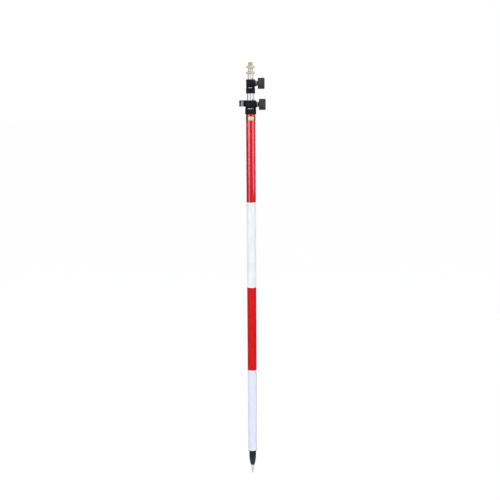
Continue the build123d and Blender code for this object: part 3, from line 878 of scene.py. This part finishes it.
CARD_TINT = (1.0, 1.0, 1.03)
CARD_DISTANCE = 2.3
CARD_BOTTOM = 0.4
CARD_TOP = 4.6
HIGH_CARD_DISTANCE = 2.2
HIGH_CARD_BOTTOM = 1.442
HIGH_CARD_TOP = 1.62
HIGH_CARD_GREY = 0.95
CEILING_SIZE = 10
CEILING_HEIGHT = CARD_TOP + 0.02
CEILING_GREY = 0.7
SOFTBOX_TINT = (1.0, 0.97, 1.2)
SOFTBOX_DISTANCE = 1.6
SOFTBOX_SHOULDER = 1.17
SOFTBOX_TOP = 1.245
TRAY_SIDES = 48
TRAY_HOLE = 0.14
WALL_HEIGHT = 1.24
WALL_DISTANCE = 1.85
REAR_WALL_DISTANCE = 1.80
REAR_SHARE = 0.77
DARK_TRAY_HEIGHT = 0.5 * MM
DARK_TRAY_GREY = 0.10
REAR_TRAY_HEIGHT = 1.0 * MM
REAR_TRAY_GREY = 0.60


def only_in_mirrors(piece, grey, tint=CARD_TINT):
    """Make a piece an evenly lit stage card that only reflections show."""
    material, tree, surface = plain_material(f"{piece.name}_grey")
    tone = tree.nodes.new("ShaderNodeEmission")
    tone.inputs["Color"].default_value = (*(grey * share for share in tint), 1)
    tree.links.new(tone.outputs["Emission"], surface)
    piece.data.materials.append(material)
    piece.visible_camera = piece.visible_diffuse = piece.visible_transmission = False
    piece.visible_shadow = piece.visible_volume_scatter = False


def tray(name, height, reach, grey, rear_only):
    """Floor ring with an upright wall, all round the pole or only behind it."""
    select_none()
    bpy.ops.mesh.primitive_circle_add(
        vertices=TRAY_SIDES, radius=TRAY_HOLE, fill_type="NOTHING", location=(0, 0, height)
    )
    ring = newest(name)
    start_editing(ring)
    if rear_only:
        pick_edges(ring, lambda place: place.y < REAR_SHARE * TRAY_HOLE)
        bpy.ops.mesh.delete(type="EDGE")
    pick_all()
    bpy.ops.mesh.extrude_edges_move(TRANSFORM_OT_translate={"value": (0, 0, 0)})
    grow = reach / TRAY_HOLE
    bpy.ops.transform.resize(value=(grow, grow, 1), center_override=(0, 0, height))
    bpy.ops.mesh.extrude_edges_move(TRANSFORM_OT_translate={"value": (0, 0, WALL_HEIGHT)})
    stop_editing()
    only_in_mirrors(ring, grey)


def card(name, start, end, grey, distance=CARD_DISTANCE, low=CARD_BOTTOM, high=CARD_TOP):
    """Upright card that stands across the azimuths from start to end."""
    select_none()
    middle = (start + end) / 2
    bpy.ops.mesh.primitive_plane_add(
        size=1, location=about_pole(middle, distance, (low + high) / 2),
        rotation=(radians(90), 0, radians(middle)),
    )
    bpy.context.object.scale = (2 * distance * tan(radians(end - start) / 2), high - low, 1)
    only_in_mirrors(newest(name), grey)


def softbox_face(name, azimuth, bottom, bottom_half, half, glow):
    """Lit face of a softbox that narrows from its shoulder to its bottom."""
    select_none()
    bpy.ops.mesh.primitive_plane_add(
        size=1, location=about_pole(azimuth, SOFTBOX_DISTANCE, (bottom + SOFTBOX_SHOULDER) / 2),
        rotation=(radians(90), 0, radians(azimuth)),
    )
    bpy.context.object.scale = (2 * half, SOFTBOX_SHOULDER - bottom, 1)
    face = newest(name)
    start_editing(face)
    pick_edges(face, lambda place: abs(place.z - bottom) < NEAR)
    narrow = bottom_half / half
    bpy.ops.transform.resize(
        value=(narrow, narrow, 1), center_override=about_pole(azimuth, SOFTBOX_DISTANCE, bottom)
    )
    pick_edges(face, lambda place: abs(place.z - SOFTBOX_SHOULDER) < NEAR)
    bpy.ops.mesh.extrude_edges_move(TRANSFORM_OT_translate={"value": (0, 0, SOFTBOX_TOP - SOFTBOX_SHOULDER)})
    stop_editing()
    only_in_mirrors(face, glow, SOFTBOX_TINT)


tray("dark_tray", DARK_TRAY_HEIGHT, WALL_DISTANCE, DARK_TRAY_GREY, rear_only=False)
tray("rear_tray", REAR_TRAY_HEIGHT, REAR_WALL_DISTANCE, REAR_TRAY_GREY, rear_only=True)
card("left_wing", start=-180, end=-82, grey=0.36)
card("left_side_card", start=-82, end=-64, grey=0.86)
card("camera_card", start=-28, end=4, grey=0.55)
card("camera_right_card", start=4, end=32, grey=0.85)
card("right_side_card", start=70, end=104, grey=0.72)
card("right_wing", start=104, end=180, grey=0.45)
card(
    "high_front_card", start=-64, end=70, grey=HIGH_CARD_GREY, distance=HIGH_CARD_DISTANCE,
    low=HIGH_CARD_BOTTOM, high=HIGH_CARD_TOP,
)
softbox_face("left_softbox", azimuth=-47, bottom=0.77, bottom_half=0.27, half=0.67, glow=3.0)
softbox_face("right_softbox", azimuth=61, bottom=0.835, bottom_half=0.49, half=0.86, glow=2.2)
select_none()
bpy.ops.mesh.primitive_plane_add(size=CEILING_SIZE, location=(0, 0, CEILING_HEIGHT))
only_in_mirrors(newest("ceiling_card"), CEILING_GREY)


# Camera

CAMERA_DISTANCE = 3.3
CAMERA_HEIGHT = 1.4099
CAMERA_PITCH = 10.07
CAMERA_ROLL = -0.35
CAMERA_ASIDE = -0.0052
CAMERA_SENSOR = 36
CAMERA_LENS = 69.285

camera_data = bpy.data.cameras.new("camera")
camera_data.sensor_width = CAMERA_SENSOR
camera_data.lens = CAMERA_LENS
camera = bpy.data.objects.new("camera", camera_data)
bpy.context.scene.collection.objects.link(camera)
camera.location = (CAMERA_ASIDE, -CAMERA_DISTANCE, CAMERA_HEIGHT)
camera.rotation_mode = "ZYX"
camera.rotation_euler = (radians(90 - CAMERA_PITCH), 0, radians(CAMERA_ROLL))
bpy.context.scene.camera = camera
bpy.context.scene.view_settings.view_transform = "Standard"
